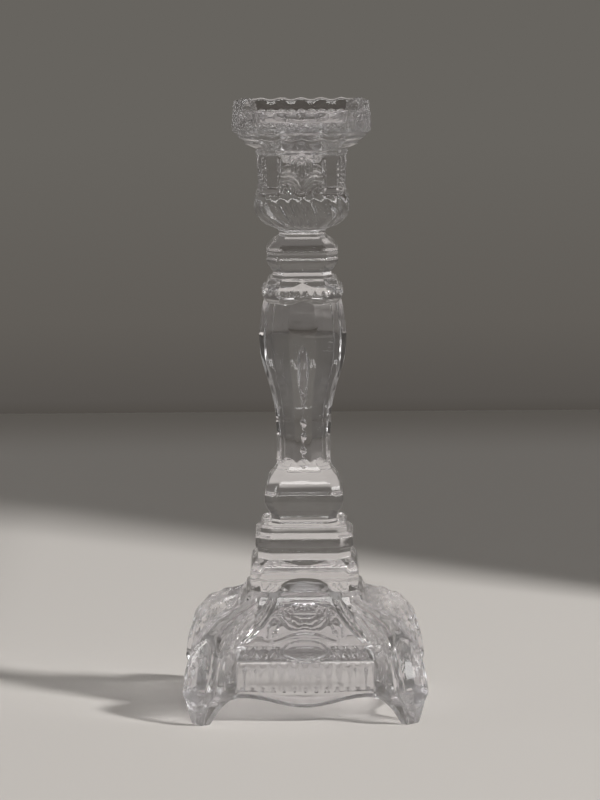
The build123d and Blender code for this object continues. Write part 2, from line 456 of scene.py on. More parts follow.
# ---- candle cup -------------------------------------------------------------------------------------
PAN_CUT = 7.7
PAN_CORNER = ROOT_TWO * 28.0      # where the pan's corners would be, uncut, from the axis
RIM_WAVE = 8.3                    # length of one wave of the rim
FLUTE = 4.15                      # pitch of the flutes on the pan's sides
UNDER_FLUTE = 5.6                 # pitch of the lower row of shells under the pan
PEARL = 1.7                       # pitch of the pearls up the cup's corners
GADROONS = 28                     # round the bowl


def corner_oval(w, z):
    """1 on the oval that is framed on each cut corner of the pan."""
    return np.sqrt((w / 2.25) ** 2 + ((z - 245.2) / 3.3) ** 2)


def pan_layers(skin, outer, on_flat):
    """Flutes with arched heads, a framed oval on each cut corner, two rows of shells underneath."""
    u, w, z = skin.u, skin.w, skin.z
    arch = 243.2 + 1.2 * lobes(u / FLUTE)
    side = smooth_step(z, 241.4, 242.2) * (1 - smooth_step(z, arch - 0.3, arch + 0.4)) * outer
    flutes = 0.75 * (lobes(u / FLUTE) - 0.5) * side * on_flat
    oval = corner_oval(w, z)
    corner = (np.abs(w) < 5.2) & outer & (z > 240.6)
    boss = 0.6 * dome(oval) - 0.7 * ridge_at(oval - 1.14, 0.15)
    framed_boss = np.where(corner, boss + 0.5 * ridge_at(oval - 1.50, 0.16), 0)
    under = window(z, 236.2, 239.4, 0.5) * outer * on_flat
    shells = 1.1 * (lobes(u / RIM_WAVE + 0.5) - 0.6) * under
    lower = 0.7 * (lobes(u / UNDER_FLUTE) - 0.5) * window(z, 233.7, 235.4, 0.4) * outer * on_flat
    return [flutes, framed_boss, shells, lower]


def palmette_layers(skin, outer):
    """A palmette in a sunk, framed field on each side of the cup, and pearls up its corners."""
    w, z = skin.w, skin.z
    a = np.abs(skin.u)
    wall = (outer & (z > 213.0) & (z < 232.0)).astype(float)
    leaf = [
        [(0, 230.9), (1.7, 229.6), (3.4, 227.2), (4.2, 224.2)],
        [(0, 228.9), (1.3, 227.5), (2.1, 225.3), (1.8, 223.6)],
        [(1.9, 221.2), (4.0, 223.1), (5.8, 223.5), (7.8, 222.6)],
        [(0.9, 217.6), (2.6, 220.2), (4.8, 221.5), (8.3, 221.3)],
        [(1.9, 216.2), (3.6, 218.4), (5.4, 219.2), (7.8, 218.9)],
        [(3.9, 215.4), (5.2, 217.0), (6.4, 217.5), (7.9, 217.2)],
        [(5.6, 215.0), (6.6, 215.9), (8.0, 215.9)],
        [(0.0, 214.3), (1.7, 214.9), (3.0, 216.4)],
        [(0.0, 218.2), (0.0, 226.4)],
        [(0.5, 218.6), (1.3, 221.4), (1.6, 224.0)],
    ]
    upright, sill = [[(9.3, 214.4), (9.3, 228.6)]], [[(9.9, 214.5), (14.4, 214.5)]]
    leaf_height = 0.65 + 0.5 * smooth_step(z, 222.5, 224.5)
    field = window(a, 0, 8.3, 0.5) * window(z, 215.4, 229.0, 0.6)
    up = ((z - 216.0) / PEARL) % 1.0 - 0.5
    pearl = np.sqrt(np.clip(1 - (up * PEARL / 0.7) ** 2 - (w / 0.7) ** 2, 0, 1))
    return [
        leaf_height * strokes(a, z, leaf, 0.95) * wall,
        0.40 * strokes(a, z, upright, 0.6) * wall,
        0.30 * strokes(a, z, sill, 0.5) * wall,
        -0.45 * field * wall,
        0.32 * pearl * wall * (np.abs(w) < 2) * window(z, 216, 229, 0.2),
    ]


def gadroon_layers(skin, outer):
    """Slanted gadroons round the bowl."""
    turn = np.arctan2(skin.co[..., 1], skin.co[..., 0]) / (2 * np.pi) * GADROONS
    bowl = window(skin.z, 202.2, 210.2, 2.6) * outer
    return [0.85 * (lobes(turn + (skin.z - 207) / 13.0) - 0.7) * bowl]


def wave_the_rim(skin, on_flat):
    rim = smooth_step(skin.co[..., 2], 246.8, 249.4)
    lift = 0.4 * np.cos(2 * np.pi * skin.u / RIM_WAVE) * on_flat + 0.15 * (1 - on_flat)
    skin.co[..., 2] += (lift - 0.45) * rim
    skin.co[..., 2] = np.minimum(skin.co[..., 2], TOTAL_HEIGHT)


def cup_stipple(co):
    """Stippled: the frames of the corner ovals, the pan's inside behind them, and the flutes."""
    u, w = across_side_and_corner(co)
    z = co[:, 2]
    from_axis = np.hypot(co[:, 0], co[:, 1])
    oval = corner_oval(w, z)
    frames = (oval > 1.3) & (oval < 2.0) & (from_axis > PAN_CORNER - 7.5)
    behind = (from_axis < PAN_CORNER - 8.2) & (np.abs(w) < 3.6) & (z > 244.0) & (z < 249)
    reach = np.maximum(np.abs(co[:, 0]), np.abs(co[:, 1]))
    sides = (reach > 27.2) & (z > 240.0) & (z < 245.0) & (np.abs(u) < 18.5)
    flutes = smooth_step(lobes(u / FLUTE), 0.35, 0.75) * window(z, 241.8, 243.8, 0.5)
    return 1.0 * frames + 0.9 * behind + 0.5 * flutes * sides


def candle_cup():
    line = outline([
        station(7.8, 226.4, 2, 0, 1),
        station(11.25, 232.0, 2, 0, 1),
        station(11.25, 242.7, 2, 0, 1),
        station(11.8, 243.0, 2, 0, 1),
        station(22.4, 243.0, 5.5),
        station(24.0, 244.5, 6.1),
        station(25.1, 249.2, 6.5),
        station(25.6, 249.8, 6.7, 0.1),
        station(26.6, 249.95, 7.1),
        station(27.5, 249.8, 7.5, 0.1),
        station(28.05, 249.2, PAN_CUT),
        station(28.1, 241.6, PAN_CUT),
        station(27.9, 240.3, 7.7, 0.2),
        station(26.2, 239.4, 7.3),
        station(25.4, 237.6, 6.8),
        station(23.0, 235.5, 5.8, -0.4),
        station(19.4, 233.4, 4.2),
        station(18.6, 232.9, 4.0),
        station(18.6, 231.4, 4.0),
        station(17.6, 230.6, 3.5),
        station(17.6, 214.6, 3.5),
        station(19.3, 209.4, 4.0, 0.5),
        station(17.3, 204.1, 4.4, 0.6),
        station(10.4, 199.3, 3.4, 0.6),
        station(CUP_JOINT[0], CUP_WAFER_TOP, CUP_JOINT[1], -0.2),
    ], 0.28)
    fine = [(213.6, 231.6, 16, 0.36), (240.4, 250, 24.2, 0.42), (199, 214, 12, 0.7)]
    rows = pick_rows(line, 1.5, 0.2, fine)
    skin = OutlineSkin(rows)
    outer = skin.on_rows(np.arange(len(rows)) > np.argmax(rows[:, 0] > 27.0))
    flat_half = skin.half - skin.cut
    on_flat = 1 - smooth_step(np.abs(skin.u), flat_half - 0.7, flat_half + 0.3)
    layers = pan_layers(skin, outer, on_flat) + palmette_layers(skin, outer)
    skin.press(sum(layers + gadroon_layers(skin, outer)))
    wave_the_rim(skin, on_flat)
    return finish_piece(skin_object("candle_cup", skin), "candle_cup", [CUP_WAFER_TOP], cup_stipple)


# ---- the plain turned pieces ------------------------------------------------------------------------
def plain_piece(node, stations, joints, soft, step, crisp=110):
    skin = OutlineSkin(pick_rows(outline(stations, soft), step), crisp)
    return finish_piece(skin_object(node, skin), node, joints)


def wafer(node, section, low, high):
    half, cut = section
    return plain_piece(node, [
        station(half, high, cut),
        station(half + 0.3, (low + high) / 2, cut),
        station(half, low, cut),
    ], [low, high], 0.2, 0.4)


def upper_knop():
    return plain_piece("upper_knop", [
        station(CUP_JOINT[0], KNOP_TOP, CUP_JOINT[1]),
        station(10.4, 194.9, 2.6),
        station(14.1, 191.3, 4.5, 0.3),
        station(14.9, 190.1, 4.6, 0.2),
        station(14.2, 188.9, 4.6),
        station(14.3, 187.6, 4.6),
        station(14.8, 186.4, 4.6, 0.2),
        station(14.1, 185.0, 4.6),
        station(STEM_JOINT[0], STEM_WAFER_TOP, STEM_JOINT[1]),
    ], [KNOP_TOP, STEM_WAFER_TOP], 0.4, 0.6, 60)


# ---- stem -------------------------------------------------------------------------------------------
LEAF_TIP = 3.4                    # pitch of the leaf tips round the collar
# (radius, height) of a drawn-out tear of air and of three beads on its thread, from the top down
AIR_TEAR = [
    (0.3, 151.5), (1.5, 149.0), (2.1, 145.0), (2.0, 140.0), (1.6, 135.0), (1.0, 131.0), (0.45, 128.0),
    (0.18, 125.0), (0.16, 120.8), (0.9, 119.7), (1.05, 118.9), (0.8, 118.0), (0.2, 117.3), (0.16, 115.0),
    (0.8, 114.1), (0.95, 113.2), (0.7, 112.3), (0.2, 111.6), (0.16, 109.2), (0.85, 108.3), (1.0, 107.4),
    (0.8, 106.5), (0.2, 105.8), (0.14, 103.0), (0.05, 101.6),
]
AIR_TEAR_DEPTH = 3.4
# (radius, height) of the streak of denser glass over it
STREAK = [(0.5, 164.6), (3.4, 164.0), (5.2, 162.0), (5.0, 158.0), (3.6, 154.0), (2.8, 150.0), (0.6, 147.0)]
STREAK_DEPTH = 8.5
# (radius, height, bow) down the octagonal baluster, measured over its edges
BALUSTER = [
    (15.5, 171.0, 0), (16.3, 168.6, 0), (17.5, 161.4, 0.15), (18.2, 154.0, 0.1), (17.9, 149.4, 0),
    (17.4, 145.2, 0.1), (15.1, 137.0, 0.1), (13.0, 129.4, -0.1), (11.5, 117.4, -0.35),
    (11.1, 107.0, -0.1), (11.3, 100.4, 0), (11.3, 90.0, 0),
]
# (height, distance from the axis) of the baluster's front edge, as the pockets behind it follow it
FRONT_EDGE = [(100, 11.2), (107, 11.0), (120, 11.9), (130, 12.9), (140, 15.6), (150, 17.6), (156, 18.0)]


def pocket(stations, depth, columns=40):
    """A closed pocket in the glass, depth mm behind the baluster's front edge."""
    line = outline([station(r, z, 0, 0, 1) for r, z in stations], 0.25)
    radius, z = pick_rows(line, 0.6, 0.3)[:, :2].T
    angle = np.arange(columns) * 2 * np.pi / columns
    ring = np.stack([np.cos(angle), np.sin(angle)], 1)
    wobble = 1 + 0.07 * np.sin(3 * angle)[None, :] * np.sin(z)[:, None]
    co = np.concatenate([
        radius[:, None, None] * wobble[..., None] * ring[None, :, :],
        np.repeat(z[:, None, None], columns, 1),
    ], 2)
    edge = np.interp(z, *zip(*FRONT_EDGE))
    co[..., 0] += (0.12 * np.sin(z * 0.45) + 0.10 * np.sin(z * 2.3))[:, None]
    co[..., 1] -= (edge - depth)[:, None]
    return Skin(co)


def collar():
    """The ring at the top of the stem, with a row of raised leaf tips."""
    rows = pick_rows(outline([
        station(STEM_JOINT[0], STEM_TOP, STEM_JOINT[1]),
        station(13.3, 178.7, 4.8),
        station(14.0, 178.0, 5.2, 0.1),
        station(15.6, 174.6, 5.8),
        station(16.2, 172.6, 6.0, 0.1),
        station(16.2, 170.8, 6.2),
        station(14.6, 168.9, 6.0),
        station(13.0, 168.3, 5.6),
    ], 0.3), 0.8, 0.16, [(170.0, 178.0, 12, 0.3)])
    skin = OutlineSkin(rows)
    u, z = skin.u, skin.z
    edge = 172.2 + 2.1 * (1 - lobes(u / LEAF_TIP))
    raised = smooth_step(z, edge - 0.3, edge + 0.3) * (1 - smooth_step(z, 174.4, 175.6))
    veins = 1 - 0.35 * lobes(u / LEAF_TIP + 0.5) * window(z, 173.6, 176.0, 0.8)
    skin.press(0.6 * raised * veins - 0.12 * (1 - raised) * window(z, 169.8, 172.5, 0.6))
    return skin


def baluster():
    """The octagonal shaft, turned so that one of its edges faces the front."""
    share = math.cos(math.pi / 8)
    rows = pick_rows(outline([
        station(r * share, z, r * share * (2 - ROOT_TWO), bow) for r, z, bow in BALUSTER
    ], 0.5), 0.9, 0.1)
    return OutlineSkin(rows, crisp=60, turn=math.pi / 8)


def lower_knop():
    return OutlineSkin(pick_rows(outline([
        station(9.6, 102.4, 4.6),
        station(10.9, 101.0, 4.6),
        station(13.3, 97.2, 4.5, -0.4),
        station(14.9, 93.6, 4.2, 0.1),
        station(15.4, 90.9, 4.0),
        station(16.2, 89.4, 3.7, 0.1),
        station(16.2, 87.9, 3.6),
        station(15.9, 85.8, 3.6, 0.1),
        station(13.9, 81.6, 3.6, 0.2),
        station(FOOT_JOINT[0], FOOT_WAFER_TOP, FOOT_JOINT[1]),
    ], 0.35), 0.8, 0.14))


def stem():
    solid = fuse("stem", [skin_object("stem_part", skin) for skin in (baluster(), collar(), lower_knop())])
    points = vertex_array(solid.data)
    faces = [list(p.vertices) for p in solid.data.polygons]
    bpy.data.objects.remove(solid)
    streak, tear = pocket(STREAK, STREAK_DEPTH), pocket(AIR_TEAR, AIR_TEAR_DEPTH)
    first_cord = len(faces)
    faces += streak.faces(len(points))
    last_cord = len(faces)
    points = np.vstack([points, streak.points()])
    # the tear's faces are turned round, so that they face the air in it
    faces += [face[::-1] for face in tear.faces(len(points))]
    points = np.vstack([points, tear.points()])
    ob = make_object("stem", points, faces)
    return finish_piece(ob, "stem", [STEM_TOP, FOOT_WAFER_TOP], sharp=28, cord=(first_cord, last_cord))


# ---- foot -------------------------------------------------------------------------------------------
REED = 4.3                        # pitch of the reeds on the apron
APRON_HALF = 40.8
LOWER_EDGE = 10.2                 # height of the apron's lower edge where it is highest
EDGE_DROP = 4.1                   # how much lower it hangs in the middle of a side


def apron_layers(skin, outer):
    """Reeds with rounded ends over a groove, an oval boss above them, slanted flutes beside it."""
    u, z = skin.u, skin.z
    a = np.abs(u)
    column = np.round(u / REED) * REED
    end = np.maximum(0, np.maximum(z - (24.7 - REED / 2), (13.2 + REED / 2) - z))
    far = np.sqrt((u - column) ** 2 + end ** 2) / (REED / 2)
    reed = 0.5 + 0.5 * np.cos(np.pi * np.clip(far, 0, 1))
    oval = np.sqrt((u / 9.0) ** 2 + ((z - 29.1) / 3.7) ** 2)
    band = outer & (z > 24.6) & (z < 37)
    slant = (a + 0.42 * (z - 28)) / 3.9
    flutes = 0.8 * lobes(slant) * window(z, 26.2, 30.4, 0.7) * window(a, 11.6, 28.5, 0.8)
    return [
        0.55 * reed * outer * (a < 32.3) * (z > 12.8) * (z < 25.4),
        -0.5 * ridge_at(z - 12.3, 0.7) * outer,
        np.where(band, 1.5 * dome(oval), 0),
        np.where(band, 0.7 * ridge_at(oval - 1.14, 0.07), 0),
        np.where(outer, flutes, 0),
    ]


def slope_layers(skin, outer):
    """Scrolls round a shield on each side of the slope, a garland under them, and a double border."""
    a, z = np.abs(skin.u), skin.z
    slope = (outer & (z > 32.4) & (z < 48.8)).astype(float)
    scrolls = [
        [(5.8, 44.2), (6.9, 43.2), (6.0, 42.1), (4.9, 42.9), (5.6, 43.6)],
        [(0.0, 41.9), (2.6, 42.0), (5.0, 42.2)],
        [(0.0, 40.2), (2.4, 40.6), (4.8, 41.6)],
        [(9.8, 44.0), (8.8, 40.4), (6.6, 37.8), (3.2, 36.9), (0.0, 37.4)],
        [(0.0, 38.7), (2.4, 38.2), (4.8, 39.6)],
        [(15.6, 34.2), (15.2, 38.0), (12.8, 40.9), (10.8, 39.6), (11.4, 37.4)],
        [(13.6, 34.4), (13.0, 36.6), (11.6, 36.0)],
        [(0.0, 44.6), (1.6, 45.4), (3.4, 44.4)],
        [(0.0, 46.6), (5.0, 46.5), (9.6, 46.0)],
    ]
    garland = [[(0, 36.0), (5.5, 35.4), (10.2, 34.0), (13, 33.4)]]
    borders = [
        [(12.2, 47.6), (15.6, 41.6), (20.0, 36.4), (24.0, 33.0)],
        [(14.4, 47.6), (17.9, 41.8), (22.4, 36.6), (26.4, 33.0)],
    ]
    return [
        0.8 * strokes(a, z, scrolls, 0.75) * slope,
        0.80 * strokes(a, z, garland, 1.1) * slope,
        0.7 * strokes(a, z, borders, 0.8) * slope,
    ]


def foot_body():
    """The stepped, flared body with its apron, hollow underneath."""
    line = outline([
        station(FOOT_JOINT[0] + 3.2, FOOT_TOP, 3.8),
        station(17.9, 76.2, 4.0, 0.2),
        station(17.9, 74.4, 4.0),
        station(19.0, 73.6, 5.4),
        station(20.2, 72.8, 5.6),
        station(20.2, 68.6, 5.6),
        station(19.0, 66.4, 5.2),
        station(19.2, 63.6, 4.8),
        station(21.6, 61.2, 4.6, 0.3),
        station(22.4, 58.0, 4.5, 0.1),
        station(22.4, 50.6, 4.5),
        station(24.0, 49.4, 5.0),
        station(37.2, 33.0, 9.0, -2.0),
        station(39.6, 31.6, 9.4),
        station(39.8, 25.2, 9.8, 0.3),
        station(APRON_HALF - 0.5, 24.4, 10.0),
        station(APRON_HALF - 0.5, LOWER_EDGE, 10.0),
        station(33.2, LOWER_EDGE, 5.0),
        station(32.2, 24.4, 5.0),
        station(30.6, 27.0, 5.0, 0.3),
        station(20.0, 38.0, 4.8),
        station(12.5, 48.0, 4.6),
        station(8.6, 51.4, 4.0),
        station(6.0, 53.0, 3.5),
    ], 0.3)
    rows = pick_rows(line, 2.2, 0.27, [(LOWER_EDGE, 32.2, 36.5, 0.6), (32.2, 48.6, 24.5, 0.48)])
    skin = OutlineSkin(rows)
    lowest = np.argmax((rows[:, 1] < 10.6) & (rows[:, 0] > 37))
    outer = skin.on_rows(np.arange(len(rows)) <= lowest + 4)
    skin.press(sum(apron_layers(skin, outer) + slope_layers(skin, outer)))
    # the lower edge hangs down in the middle of a side, and a little beside each leg
    a = np.abs(skin.u)
    sag = 0.5 + 0.5 * np.cos(np.pi * np.clip(a / 26.0, 0, 1))
    drop = EDGE_DROP * sag + 1.2 * smooth_step(a, 27.0, 32.0)
    low = (rows[:, 0] > 30)[:, None] * (1 - smooth_step(skin.co[..., 2], LOWER_EDGE, 14.6))
    skin.co[..., 2] -= drop * low
    return skin_object("foot_body", skin)


# (r, z) of a leg's ridge, (r, z) of its root inside the body, and half its width
LEG = [
    (21.0, 49.8, 21.0, 43.0, 3.3),
    (27.0, 49.3, 24.5, 40.5, 3.4),
    (33.0, 46.0, 28.4, 37.2, 4.6),
    (41.0, 43.2, 33.2, 33.6, 6.4),
    (48.5, 40.0, 37.4, 30.4, 8.0),
    (54.2, 35.4, 41.2, 27.0, 8.5),
    (58.6, 28.6, 43.6, 22.5, 8.5),
    (61.9, 19.6, 44.2, 17.0, 8.5),
    (63.4, 12.6, 45.8, 12.2, 8.5),
    (63.4, 8.8, 48.6, 9.6, 6.5),
    (63.1, 4.6, 53.6, 6.0, 4.8),
    (62.6, 1.0, 57.2, 1.4, 3.6),
    (62.3, 0.0, 58.0, 0.0, 3.1),
]
LEG_SECTIONS = 84
LEG_SIDE_STEPS = 20               # steps along each of the four sides of a section
LEG_CRISP = 14                    # how square a section's corners are


def leg_section():
    """A rounded square between -1 and 1: first towards the ridge or the root, then sideways."""
    rise = -1 + 2 * np.arange(LEG_SIDE_STEPS) / LEG_SIDE_STEPS
    one = np.ones(LEG_SIDE_STEPS)
    sides = [(one, rise), (-rise, one), (-one, -rise), (rise, -one)]
    square = np.vstack([np.stack(side, 1) for side in sides])
    return square / ((np.abs(square) ** LEG_CRISP).sum(1) ** (1 / LEG_CRISP))[:, None]


def ridge_layers(r, z, share, top):
    """Three ribs and three lumps along the back of the scroll. share is 1 at the section's side."""
    ribs = np.where(top, 0.45 * (lobes(share * 1.5) - 0.4), 0)
    lumps = sum(ridge_at(r - spot, 2.2) for spot in (41.5, 49.0, 55.6))
    return [
        ribs * smooth_step(r, 27, 34) * smooth_step(z, 33.5, 37.5),
        np.where(top & (z > 24), 0.7 * lumps * (0.4 + 0.6 * np.abs(share)), 0),
    ]


def end_face_layers(r, s, z, top):
    """On the leg's end: an arched edge, a sunk panel with a pointed head, and two toe lines."""
    face = top & (r > 50) & (z > 2)
    arch = [[(-7.0, 15.0), (-7.2, 22.0), (-6.5, 28.0), (-3.9, 32.4), (0, 34.2),
             (3.9, 32.4), (6.5, 28.0), (7.2, 22.0), (7.0, 15.0)]]
    toes = [[(-5.6, 10.4), (-2.5, 8.6), (2.5, 8.6), (5.6, 10.4)], [(-4.4, 6.2), (0, 4.8), (4.4, 6.2)]]
    head = np.clip((z - 15.0) / 13.6, 0, 1)
    wide = 4.9 * np.sqrt(np.clip(1 - head ** 1.7, 0, 1))
    panel = window(z, 15.0, 28.2, 0.4) * (1 - smooth_step(np.abs(s), wide - 0.35, wide + 0.25))
    return [
        np.where(face, 0.6 * strokes(s, z, arch, 1.0), 0),
        -np.where(face, 1.1 * panel, 0),
        -np.where(face, 0.5 * strokes(s, z, toes, 0.8), 0),
    ]


def flank_layers(r, z, flank):
    """A leaf's sunk veins on the leg's flanks, a raised post behind the end face, and a curl."""
    veins = [
        [(27.0, 45.6), (34.0, 42.6), (42.0, 39.0), (49.0, 34.6), (53.5, 28.0), (55.5, 21.0)],
        [(29.0, 42.0), (36.0, 38.6), (43.0, 34.6), (48.4, 28.6), (50.6, 22.0)],
        [(32.0, 38.4), (38.5, 34.6), (43.6, 29.6), (46.2, 23.6)],
        [(59.4, 14.0), (58.6, 19.5), (56.2, 27.0), (52.4, 33.0)],
    ]
    post = [[(54.6, 30.0), (55.6, 23.0), (56.0, 14.0)]]
    curl = [[(50.5, 34.2), (53.2, 31.4), (52.0, 28.6), (49.6, 29.4), (50.2, 31.4)]]
    return [
        -np.where(flank, 0.45 * strokes(r, z, veins, 1.1), 0),
        np.where(flank, 0.45 * strokes(r, z, post, 1.4), 0),
        np.where(flank, 0.6 * strokes(r, z, curl, 0.9), 0),
    ]


def leg(turn):
    """A scroll leg: sections across its path, each from the ridge to the hidden root."""
    path = through(LEG, 20)
    along = np.linspace(0, run_along(path)[-1], LEG_SECTIONS)
    path = at_distances(path, along)
    path[-1, 1] = path[-1, 3] = 0.0
    ridge, root, width = path[:, 0:2], path[:, 2:4], path[:, 4][:, None]
    section = leg_section()
    outward, sideways = section[None, :, 0:1], section[None, :, 1]
    middle, reach = (ridge + root) / 2, (ridge - root) / 2
    r, z = np.moveaxis(middle[:, None, :] + reach[:, None, :] * outward, 2, 0)
    s = width * sideways
    skin = Skin(np.stack([r, s, z], 2))
    top = (np.abs(sideways) < np.abs(outward[..., 0]) * 1.02) & (outward[..., 0] > 0) & (z > -1)
    layers = ridge_layers(r, z, s / np.maximum(width, 1), top)
    layers += end_face_layers(r, s, z, top) + flank_layers(r, z, ~top)
    plain_ends = smooth_step(along, 2, 6) * (1 - smooth_step(along, along[-1] - 4, along[-1] - 1))
    skin.press(sum(layers) * plain_ends[:, None])
    skin.co[..., 2] = np.maximum(skin.co[..., 2], 0.0)
    points = skin.points()
    x, y = points[:, 0].copy(), points[:, 1].copy()
    points[:, 0] = math.cos(turn) * x - math.sin(turn) * y
    points[:, 1] = math.sin(turn) * x + math.cos(turn) * y
    return make_object("leg", points, skin.faces())


def along_diagonal(co, w):
    """Distance from the axis along the nearest diagonal."""
    return np.sqrt(np.maximum(co[:, 0] ** 2 + co[:, 1] ** 2 - w ** 2, 0))


def foot_stipple(co):
    """Stippled: the knees of the legs beside their ridge, and their toes."""
    _, w = across_side_and_corner(co)
    r, z = along_diagonal(co, w), co[:, 2]
    knee = np.exp(-((r - 47) / 4.5) ** 2 - ((z - 36) / 3.5) ** 2) * (np.abs(w) > 4)
    toe = np.exp(-((r - 60) / 3.0) ** 2 - ((z - 3) / 2.2) ** 2)
    return 0.45 * knee + 0.35 * toe


def foot_haze(co):
    """Softly fire-polished: the reeded band, and the end faces of the legs."""
    u, w = across_side_and_corner(co)
    r, z = along_diagonal(co, w), co[:, 2]
    reach = np.maximum(np.abs(co[:, 0]), np.abs(co[:, 1]))
    band = (reach > 39.2) & (reach < 41.4) & (np.abs(u) < 30.5) & (z > 13.0) & (z < 24.6)
    end_ridge = sorted((height, radius) for radius, height, *_ in LEG if radius > 54)
    ridge = np.interp(z, *zip(*end_ridge))
    end = (r > ridge - 2.2) & (np.abs(w) < 8.2) & (z > 5.0) & (z < 34.0)
    return 0.20 * band + 0.10 * end


def foot():
    legs = [leg(math.pi / 4 + k * math.pi / 2) for k in range(4)]
    ob = fuse("foot", [foot_body()] + legs)
    return finish_piece(ob, "foot", [FOOT_TOP], foot_stipple, foot_haze, sharp=38)


candle_cup()
wafer("cup_wafer", CUP_JOINT, KNOP_TOP, CUP_WAFER_TOP)
upper_knop()
wafer("stem_wafer", STEM_JOINT, STEM_TOP, STEM_WAFER_TOP)
stem()
wafer("foot_wafer", FOOT_JOINT, FOOT_TOP, FOOT_WAFER_TOP)
foot()


# ---- floor and lights, in metres --------------------------------------------------------------------
FLOOR_BACK = 0.79                 # behind the stick, where the floor meets the wall
FLOOR_REACH = 6.0
FLOOR_PAINTED_SHADE_REACH = 0.16              # the floor's last stretch before the wall, where shade is painted into its colour
FLOOR_TONE_AND_PAINTED_SHADE = (0.575, 0.552, 0.530, 1), (0.395, 0.370, 0.345, 1)     # the floor's own tone under the stick, and the painted shade at the wall
KEY_ELEVATION = math.radians(40)
KEY_HEADING = math.atan2(-0.413, 0.911)
KEY_DISTANCE, KEY_SIZE, KEY_POWER = 7.0, 0.72, 510.0
KEY_COLOUR = (1.0, 0.985, 0.965)
KEY_SPOT = Vector((
    math.cos(KEY_ELEVATION) * math.cos(KEY_HEADING),
    math.cos(KEY_ELEVATION) * math.sin(KEY_HEADING),
    math.sin(KEY_ELEVATION),
)) * KEY_DISTANCE
# (x, y) of the lit patch's corners on the floor, and how far up to the key light its edge is cast from:
# the further up, the softer
LIT_PATCH = [(-0.200, 0.497, 0.118), (0.180, 0.207, 0.045), (0.180, -0.260, 0.060), (-0.200, -0.260, 0.100)]


def stage_mesh(name, corners, faces):
    mesh = bpy.data.meshes.new(name)
    mesh.from_pydata([tuple(c) for c in corners], [], faces)
    ob = bpy.data.objects.new(name, mesh)
    scene.collection.objects.link(ob)
    return ob


def floor():
    ob = stage_mesh("floor", [
        (-FLOOR_REACH, -FLOOR_REACH, 0), (FLOOR_REACH, -FLOOR_REACH, 0),
        (FLOOR_REACH, FLOOR_BACK, 0), (-FLOOR_REACH, FLOOR_BACK, 0),
    ], [(0, 1, 2, 3)])
    mat = empty_material("floor_matt")
    tree = mat.node_tree
    link = tree.links.new
    place = add(tree, "ShaderNodeTexCoord", (-900, 0))
    split = add(tree, "ShaderNodeSeparateXYZ", (-700, 0))
    # painted shade: the floor's colour darkens over its last stretch before the wall, by its Y
    back = add(tree, "ShaderNodeMapRange", (-500, 0), {
        "From Min": FLOOR_BACK - FLOOR_PAINTED_SHADE_REACH, "From Max": FLOOR_BACK,
    }, interpolation_type="SMOOTHSTEP")
    ramp = add(tree, "ShaderNodeMix", (-250, 0), data_type="RGBA")
    ramp.inputs["A"].default_value, ramp.inputs["B"].default_value = FLOOR_TONE_AND_PAINTED_SHADE
    shader = add(tree, "ShaderNodeBsdfPrincipled", (0, 0), {"Roughness": 0.9, "Specular IOR Level": 0.2})
    out = add(tree, "ShaderNodeOutputMaterial", (300, 0))
    link(place.outputs["Object"], split.inputs[0])
    link(split.outputs["Y"], back.inputs["Value"])
    link(back.outputs["Result"], ramp.inputs["Factor"])
    link(ramp.outputs["Result"], shader.inputs["Base Color"])
    link(shader.outputs[0], out.inputs["Surface"])
    ob.data.materials.append(mat)


def key_light():
    data = bpy.data.lights.new("key", "AREA")
    data.energy, data.size, data.shape = KEY_POWER, KEY_SIZE, "SQUARE"
    data.color = KEY_COLOUR
    ob = bpy.data.objects.new("key", data)
    ob.location = KEY_SPOT
    ob.rotation_euler = (-KEY_SPOT).to_track_quat("-Z", "Y").to_euler()
    scene.collection.objects.link(ob)


def flag():
    """A board with a window in it, between the key light and the floor. Only its shadow is seen."""
    spots = []
    for reach in (1.0, 12.0):
        for x, y, share in LIT_PATCH:
            spot = Vector((x * reach, y * reach, 0))
            spots.append(spot + (KEY_SPOT - spot) * share)
    rim = [(k, (k + 1) % 4, (k + 1) % 4 + 4, k + 4) for k in range(4)]
    ob = stage_mesh("flag", spots, rim)
    ob.visible_camera = ob.visible_diffuse = ob.visible_glossy = ob.visible_transmission = False


# ---- room: what the glass reflects, as a background by direction ------------------------------------
WALL_FOOT, WALL_TOP = -0.154, -0.104     # Z of the directions in which the wall's painted shade starts and ends
# the wall's tones from its foot up: painted shade near the floor, then its own dark warm grey
WALL_TONES_WITH_PAINTED_SHADE = [(0.0, (78, 74, 69)), (0.07, (88, 84, 80)), (0.35, (97, 93, 88)), (1.0, (103, 100, 95))]
ALL = (-2, 2)
# colour, then the ranges of a direction's X, Y (away from the camera) and Z that it fills, and its fade
PANELS = [
    # the room on all sides but straight behind, and its darker nearer part
    ((0.100, 0.094, 0.087), ALL, (-2, 0.84), ALL, 0.10),
    ((0.055, 0.052, 0.048), ALL, (-2, 0.30), ALL, 0.20),
    # the ceiling, and a pale wall on each side
    ((0.350, 0.340, 0.325), ALL, ALL, (0.80, 2), 0.08),
    ((0.450, 0.443, 0.435), (-2, -0.55), (-0.45, 0.30), (0.06, 0.58), 0.05),
    ((0.320, 0.315, 0.305), (0.50, 2), (-0.60, 0.15), (0.10, 0.62), 0.05),
    # small bright windows: left, right, and behind the camera
    ((8.000, 7.900, 7.800), (-2, -0.60), (-0.25, 0.02), (0.28, 0.42), 0.02),
    ((7.000, 6.900, 6.800), (0.60, 2), (-0.12, 0.10), (0.20, 0.30), 0.02),
    ((7.000, 6.900, 6.800), (-0.16, 0.16), (-2, -0.60), (0.52, 0.62), 0.02),
]


def linear(red, green, blue):
    """A display colour, 0 to 255, as linear light."""
    def one(c):
        c /= 255.0
        return c / 12.92 if c <= 0.04045 else ((c + 0.055) / 1.055) ** 2.4
    return (one(red), one(green), one(blue), 1)


def product(tree, first, second, at):
    both = add(tree, "ShaderNodeMath", at, operation="MULTIPLY")
    tree.links.new(first, both.inputs[0])
    tree.links.new(second, both.inputs[1])
    return both.outputs[0]


